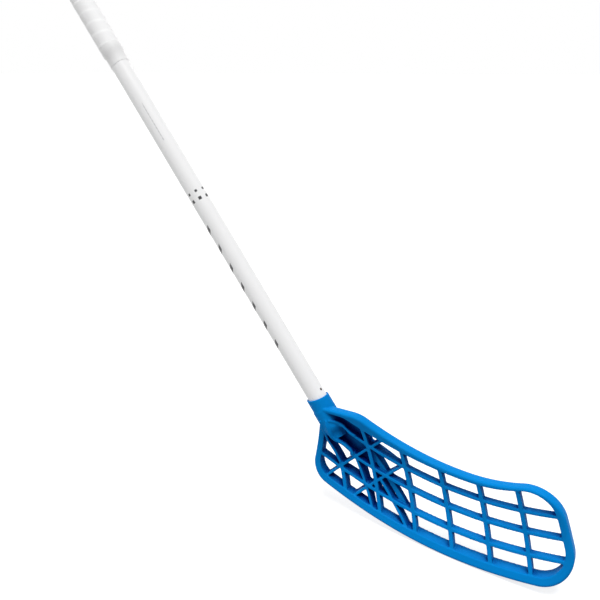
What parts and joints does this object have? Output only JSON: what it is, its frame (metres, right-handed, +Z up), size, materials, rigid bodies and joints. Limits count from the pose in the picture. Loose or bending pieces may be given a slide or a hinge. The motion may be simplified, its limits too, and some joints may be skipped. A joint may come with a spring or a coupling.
{
  "type": "floorball stick",
  "caption": "Floorball stick: straight round shaft with a wrapped grip and end cap, screwed into the socket of a hooked, open-lattice blade.",
  "frame": {"origin": "point of the playing surface where the shaft's axis meets it", "axes": "+Z up, +X along the floor from the heel to the toe of the blade, -Y the open forehand side of the blade"},
  "size_m": [0.7618, 0.0474, 0.7848],
  "materials": {
    "shaft": "white lacquer over a fibre composite tube",
    "blade": "blue injection moulded plastic, satin",
    "grip": "soft white wrap, matte",
    "band": "white finishing tape",
    "cap": "white rubber, matte",
    "screw": "zinc plated",
    "glue": "hot-melt film"
  },
  "bodies": {
    "stick": {"shaft": "shaft", "blade": "blade", "grip_tape": "grip", "grip_end_band": "band", "socket_glue": "glue"},
    "cap": {"end_cap": "cap"},
    "upper_screw": {"upper_blade_screw": "screw"},
    "lower_screw": {"lower_blade_screw": "screw"}
  },
  "joints": [
    {"name": "cap_pull", "type": "slide", "parent": "stick", "child": "cap", "axis": [-0.5878, 0, 0.809], "range_m": [0, 0.036]},
    {"name": "upper_screw_out", "type": "slide", "parent": "stick", "child": "upper_screw", "axis": [0, 1, 0], "range_m": [0, 0.009]},
    {"name": "lower_screw_out", "type": "slide", "parent": "stick", "child": "lower_screw", "axis": [0, 1, 0], "range_m": [0, 0.009]}
  ]
}
